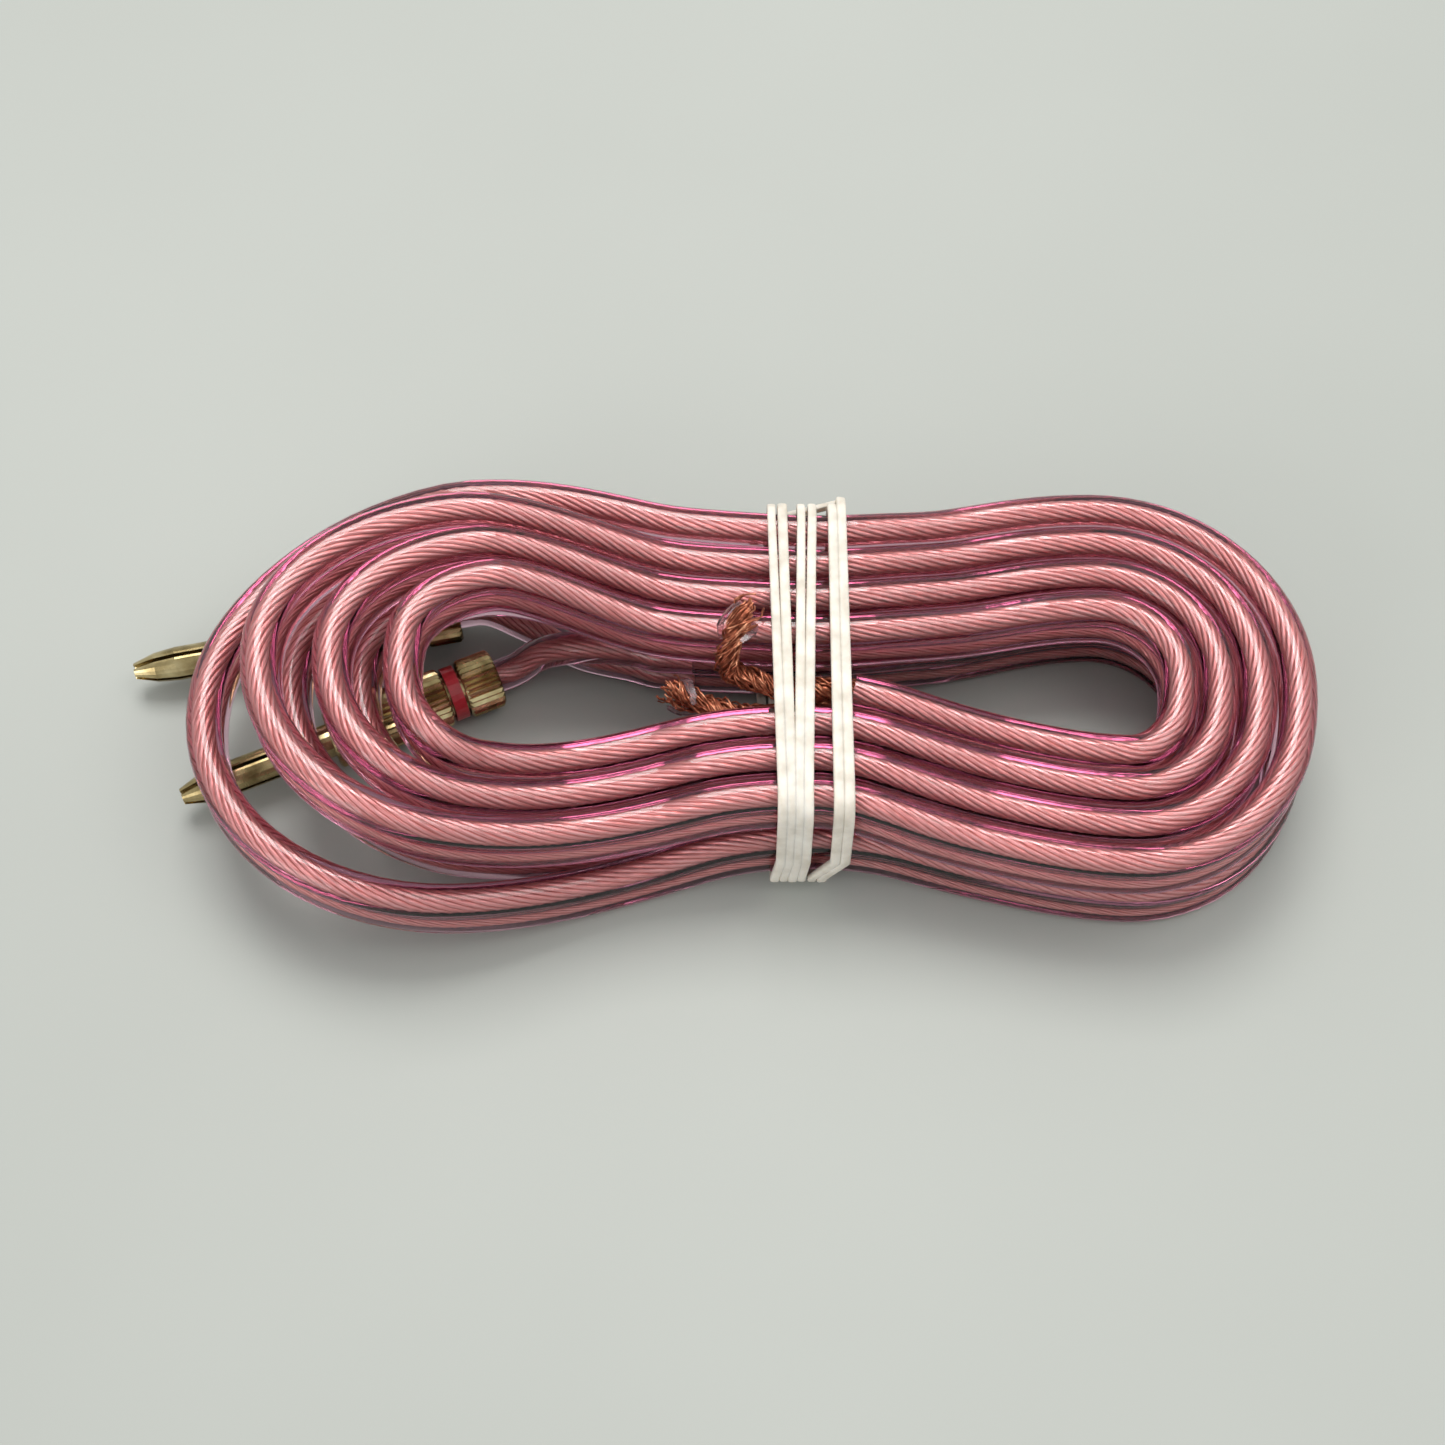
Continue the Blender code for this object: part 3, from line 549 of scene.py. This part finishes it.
bare_pieces = []
for name, side, seed in (("front", -1, 5), ("back", 1, 11)):
    points = bare_route(name, side)
    frames = frames_along(points)
    bundle = frayed_bundle(f"bare_strands_{name}", points, seed)
    bundle.data.materials.append(bare_copper)
    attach(bundle, "lead")
    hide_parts(f"bare_end_{name}")
    spots = len(points)
    heart_shares = [1 - 0.5 * smooth_step((index / spots - 0.6) / 0.4) for index in range(spots)]
    heart_section = circle_section(BARE_OD * HEART_SHARE, 10)
    heart = swept(f"bare_heart_{name}", points[:-HEART_SHORT], heart_section, shares=heart_shares)
    heart.data.materials.append(bare_copper)
    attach(heart, "lead")
    around = curl(points, frames, 0.80, 0.97, SCRAP_OUT, -0.6, 2.9)
    first = scrap(f"jacket_scrap_{name}", around, SCRAP_WIDE, SCRAP_THICK)
    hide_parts(f"jacket_shred_{name}")
    around = curl(points, frames, 0.74, 0.93, SLIVER_OUT, 2.6, 1.9)
    second = scrap(f"jacket_sliver_{name}", around, SLIVER_WIDE, SLIVER_THICK)
    bare_pieces += [bundle, heart, first, second]

# Rubber band: one natural rubber band, doubled round the waist of the hank until it is tight. Its flat
# strand is about a millimetre wide and lies side by side in two groups. The last strand goes back to the
# first behind the hank, outside the others.
BAND_THICK = 1.0 * MM
BAND_CLEARANCE = 0.35 * MM
BAND_AT = (1.3 * MM, 2.75 * MM, 5.0 * MM, 6.45 * MM, 8.4 * MM, 9.85 * MM)
BAND_WIDE = (0.80, 0.95, 0.80, 0.85, 0.95, 0.90)
BAND_BACK = (1.5 * MM, 2.75 * MM, 4.9 * MM, 6.15 * MM, 8.5 * MM, 9.5 * MM)
BAND_FRONT = (3.3 * MM, 4.2 * MM, 5.1 * MM, 8.4 * MM, 9.5 * MM, 2.4 * MM)
BAND_LOW = (2.8 * MM, 3.8 * MM, 4.8 * MM, 6.0 * MM, 7.1 * MM, 1.8 * MM)
BAND_RETURN_PITCH = 1.5 * MM
BAND_CROSS_OUT = 0.9 * MM
BAND_CORNER_POINTS = 14
BAND_HALF_WIDE = 0.60 * MM
BAND_HALF_THICK = 0.43 * MM
BAND_ROUNDNESS = 0.6
BAND_SECTION_POINTS = 20

cream_rubber, shader, links = new_material(
    "cream_rubber",
    Roughness=0.5,
    Subsurface_Weight=0.25,
    Subsurface_Radius=(0.9 * MM, 0.7 * MM, 0.5 * MM),
    Subsurface_Scale=1.0,
)
tree = cream_rubber.node_tree
rubber_tone = noise_of(tree, 420.0, 4.0)
rubber_colours = ((0.3, (0.55, 0.50, 0.42)), (0.55, (0.70, 0.65, 0.57)), (0.8, (0.78, 0.74, 0.66)))
links.new(ramp_of(tree, rubber_tone, rubber_colours), shader.inputs["Base Color"])
bump_of(tree, noise_of(tree, 1500.0, 4.0), 0.05 * MM, 0.5, shader)


def waist_conductors():
    """Places (y, z) of the conductors that pass through the band."""
    spots = []
    for turn in np.arange(FIRST_TURN, LAST_TURN, 0.01):
        middle = cord_place(float(turn))
        if BAND_AT[0] - BAND_THICK <= middle.x <= BAND_AT[-1] + BAND_THICK:
            for half in (CONDUCTOR_STEP / 2, -CONDUCTOR_STEP / 2):
                spots.append(Vector((middle.y, middle.z + half)))
    return spots


conductors = waist_conductors()
band_points = []
band_shares = []
for number, top in enumerate(BAND_AT):
    crossing = number == len(BAND_AT) - 1
    low_back = BAND_AT[0] - BAND_RETURN_PITCH if crossing else top
    for corner, x in enumerate((BAND_BACK[number], low_back, BAND_LOW[number], BAND_FRONT[number])):
        outside = BAND_CROSS_OUT if crossing and corner < 2 else 0.0
        for step in range(BAND_CORNER_POINTS):
            angle = math.pi / 2 * (1 - corner - (step + 0.5) / BAND_CORNER_POINTS)
            way = Vector((math.cos(angle), math.sin(angle)))
            farthest = max(conductors, key=lambda spot: spot.dot(way))
            spot = farthest + way * (CONDUCTOR_OD / 2 + BAND_CLEARANCE + BAND_THICK / 2)
            band_points.append(Vector((x, spot.x + outside, spot.y)))
            band_shares.append(BAND_WIDE[number] if corner != 3 else 1.0)
band_section = []
for step in range(BAND_SECTION_POINTS):
    angle = 2 * math.pi * step / BAND_SECTION_POINTS
    x = BAND_HALF_WIDE * math.copysign(abs(math.cos(angle)) ** BAND_ROUNDNESS, math.cos(angle))
    y = BAND_HALF_THICK * math.copysign(abs(math.sin(angle)) ** BAND_ROUNDNESS, math.sin(angle))
    band_section.append((x, y))
band = swept(
    "rubber_band_strand", band_points, band_section, shares=band_shares, closed=True, twist="MINIMUM"
)
band.data.materials.append(cream_rubber)
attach(band, "lead")
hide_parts("rubber_band")

# Screw plugs: turned brass with a thin gold plate, worn to an olive tone. The sleeve and the cap are
# knurled with straight ridges, and a plastic ring between them shows which conductor it is.
gold_plate, shader, links = new_material("gold_plate", Metallic=1.0)
tree = gold_plate.node_tree
gold_tone = noise_of(tree, 350.0, 4.0)
gold_colours = ((0.3, (0.19, 0.14, 0.06)), (0.5, (0.44, 0.34, 0.17)), (0.72, (0.74, 0.62, 0.36)))
links.new(ramp_of(tree, gold_tone, gold_colours), shader.inputs["Base Color"])
links.new(ramp_of(tree, gold_tone, ((0.3, grey(0.32)), (0.7, grey(0.17)))), shader.inputs["Roughness"])
bump_of(tree, noise_of(tree, 3000.0, 3.0), 0.01 * MM, 0.4, shader)

RING_TONES = {
    "black": ((0.012, 0.012, 0.014), (0.03, 0.03, 0.032)),
    "red": ((0.36, 0.01, 0.02), (0.50, 0.03, 0.04)),
}
ring_plastic = {}
for name, (colour, light) in RING_TONES.items():
    ring_plastic[name], shader, links = new_material(f"{name}_ring_plastic", Coat_Weight=0.3)
    tree = ring_plastic[name].node_tree
    tone = noise_of(tree, 500.0, 3.0)
    links.new(ramp_of(tree, tone, ((0.35, colour), (0.7, light))), shader.inputs["Base Color"])
    links.new(ramp_of(tree, tone, ((0.3, grey(0.42)), (0.7, grey(0.3)))), shader.inputs["Roughness"])
    bump_of(tree, noise_of(tree, 2500.0, 2.0), 0.01 * MM, 0.4, shader)

for node, item in nodes.items():
    if not node.startswith("plug_"):
        continue
    name = node.split("_")[1]
    finish = ring_plastic[name] if node.endswith("_ring") else gold_plate
    item.data.materials.clear()
    item.data.materials.append(finish)

# Table: a smooth pale surface with a faint green cast. A window above and behind gives the highlights,
# and the room, a lamp at the right and a weak one from the front left fill the shadows.
TABLE_RADIUS = 4.0
table_data = bpy.data.meshes.new("table")
work = bmesh.new()
bmesh.ops.create_circle(work, cap_ends=True, segments=64, radius=TABLE_RADIUS)
work.to_mesh(table_data)
work.free()
table = bpy.data.objects.new("table", table_data)
bpy.context.scene.collection.objects.link(table)
table_finish, shader, links = new_material("pale_table", Roughness=0.5)
tree = table_finish.node_tree
table_tone = noise_of(tree, 6.0, 4.0)
table_colours = ((0.3, (0.343, 0.358, 0.331)), (0.7, (0.378, 0.394, 0.366)))
links.new(ramp_of(tree, table_tone, table_colours), shader.inputs["Base Color"])
table_data.materials.append(table_finish)

world = bpy.data.worlds.new("room")
world.use_nodes = True
bpy.context.scene.world = world
tree = world.node_tree
room = tree.nodes["Background"]
room.inputs["Color"].default_value = (0.80, 0.81, 0.82, 1.0)
room.inputs["Strength"].default_value = 1.0
backdrop = tree.nodes.new("ShaderNodeBackground")
backdrop.inputs["Color"].default_value = (0.60, 0.62, 0.60, 1.0)
ray = tree.nodes.new("ShaderNodeLightPath")
seen = ray.outputs["Is Camera Ray"]
for kind in ("Is Glossy Ray", "Is Transmission Ray"):
    either = tree.nodes.new("ShaderNodeMath")
    either.operation = "MAXIMUM"
    tree.links.new(seen, either.inputs[0])
    tree.links.new(ray.outputs[kind], either.inputs[1])
    seen = either.outputs[0]
mix = tree.nodes.new("ShaderNodeMixShader")
tree.links.new(seen, mix.inputs["Fac"])
tree.links.new(room.outputs["Background"], mix.inputs[1])
tree.links.new(backdrop.outputs["Background"], mix.inputs[2])
tree.links.new(mix.outputs["Shader"], tree.nodes["World Output"].inputs["Surface"])

LAMPS = (
    ("window", (-0.06, 0.42, 0.82), 0.48, 5.5, (1.0, 0.99, 0.97)),
    ("ceiling", (0.50, 0.05, 0.85), 0.5, 1.9, (1.0, 0.98, 0.95)),
    ("fill", (-0.55, -0.65, 0.36), 0.5, 1.8, (1.0, 0.99, 0.97)),
)
for name, place, wide, power, colour in LAMPS:
    lamp_data = bpy.data.lights.new(name, "AREA")
    lamp_data.size = wide
    lamp_data.energy = power
    lamp_data.color = colour
    lamp = bpy.data.objects.new(name, lamp_data)
    lamp.location = place
    lamp.rotation_mode = "QUATERNION"
    lamp.rotation_quaternion = (-Vector(place)).to_track_quat("-Z", "Y")
    bpy.context.scene.collection.objects.link(lamp)

bpy.context.scene.view_settings.view_transform = "Standard"
